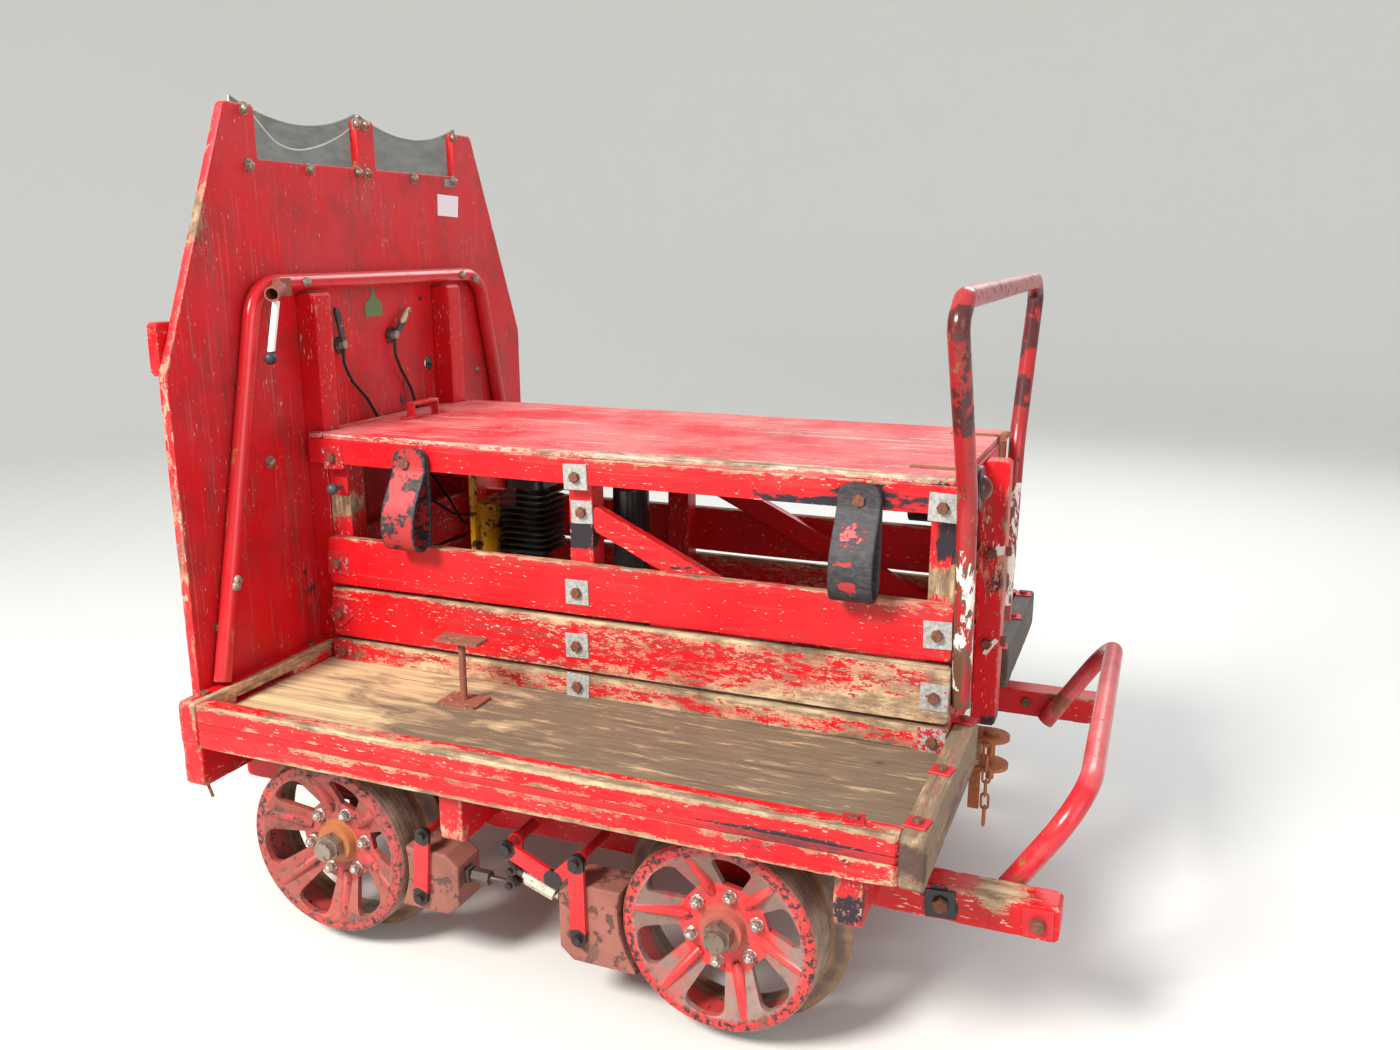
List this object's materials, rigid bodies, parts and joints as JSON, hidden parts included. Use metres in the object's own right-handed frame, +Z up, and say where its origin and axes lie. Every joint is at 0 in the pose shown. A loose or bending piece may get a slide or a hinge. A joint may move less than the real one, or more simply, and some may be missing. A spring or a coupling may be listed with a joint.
{
  "type": "motor rail trolley",
  "caption": "Low timber rail trolley with spoked wheels, side trays, a lidded engine box, a windscreen panel and tube hoops.",
  "frame": {"origin": "on the floor under the middle of the wheelbase and of the track, level with the flange tips", "axes": "+X along the track towards the coupler end, +Y to the far side, +Z up"},
  "size_m": [1.685, 1.354, 1.611],
  "materials": {
    "red_timber": "weathered red paint over sawn timber",
    "red_ply": "weathered red paint over plywood",
    "worn_lid": "faded red paint, scratched and worn at the edges",
    "deck_ply": "bare plywood with oil stains",
    "grey_timber": "bare weathered timber",
    "red_steel": "red paint over steel, rust at the edges",
    "red_iron": "red paint over cast iron, polished treads",
    "brake_iron": "rusty cast iron with remains of paint",
    "rusty_steel": "rusty steel",
    "bright_steel": "worn steel",
    "belting": "fabric belting with red paint",
    "clear_acrylic": "scratched clear sheet",
    "lamp_lens": "dark red lens",
    "yellow_enamel": "oily yellow enamel",
    "engine_black": "oily black enamel",
    "black_tape": "insulating tape and dark plastic",
    "cable_black": "cable sheath"
  },
  "bodies": {
    "root": {"sills": "red_timber", "cross_bearers": "red_timber", "floor_rails": "red_timber", "engine_bearers": "red_timber", "tray_rails": "red_timber", "tray_decks": "deck_ply", "tray_kerbs": "red_timber", "tray_end_boards": "grey_timber", "box_posts": "red_timber", "side_boards": "red_timber", "top_rails": "red_timber", "box_end_boards": "red_timber", "braces": "red_timber", "lid_sill": "red_timber", "hinge_leaves": "rusty_steel", "belt_loops": "belting", "screen_panel": "red_ply", "screen_panes": "clear_acrylic", "front_batten": "red_timber", "screen_posts": "red_timber", "screen_hoop": "red_steel", "grab_hoop": "red_steel", "rear_post": "red_timber", "tail_lamp": "lamp_lens", "drawbar": "red_timber", "coupler_plates": "rusty_steel", "coupler_pin": "rusty_steel", "coupler_chain": "rusty_steel", "bumper_hoop": "red_steel", "axle_boxes": "red_iron", "brake_blocks": "brake_iron", "brake_hangers": "red_steel", "brake_levers": "red_steel", "brake_rods": "rusty_steel", "foot_pedal": "rusty_steel", "engine_plate": "yellow_enamel", "crankcase": "engine_black", "finned_barrel": "engine_black", "engine_cowl": "yellow_enamel", "engine_stay": "yellow_enamel", "canister_shelf": "grey_timber", "canister": "engine_black", "chain_case": "red_steel", "hand_levers": "black_tape", "socket_tube": "rusty_steel", "taped_lever": "black_tape", "choke_knob": "rusty_steel", "control_cables": "cable_black"},
    "front_wheelset": {"front_wheels": "red_iron", "front_axle": "bright_steel"},
    "rear_wheelset": {"rear_wheels": "red_iron", "rear_axle": "bright_steel"},
    "lid_body": {"lid": "worn_lid", "lid_handle": "red_steel", "lid_straps": "rusty_steel"}
  },
  "joints": [
    {"name": "front_wheels_roll", "type": "hinge", "parent": "root", "child": "front_wheelset", "pos_m": [-0.4, 0, 0.209], "axis": [0, 1, 0], "continuous": true},
    {"name": "rear_wheels_roll", "type": "hinge", "parent": "root", "child": "rear_wheelset", "pos_m": [0.4, 0, 0.209], "axis": [0, 1, 0], "continuous": true},
    {"name": "lid_hinge", "type": "hinge", "parent": "root", "child": "lid_body", "pos_m": [0.718, 0, 0.954], "axis": [0, 1, 0], "range_deg": [0, 85]}
  ]
}
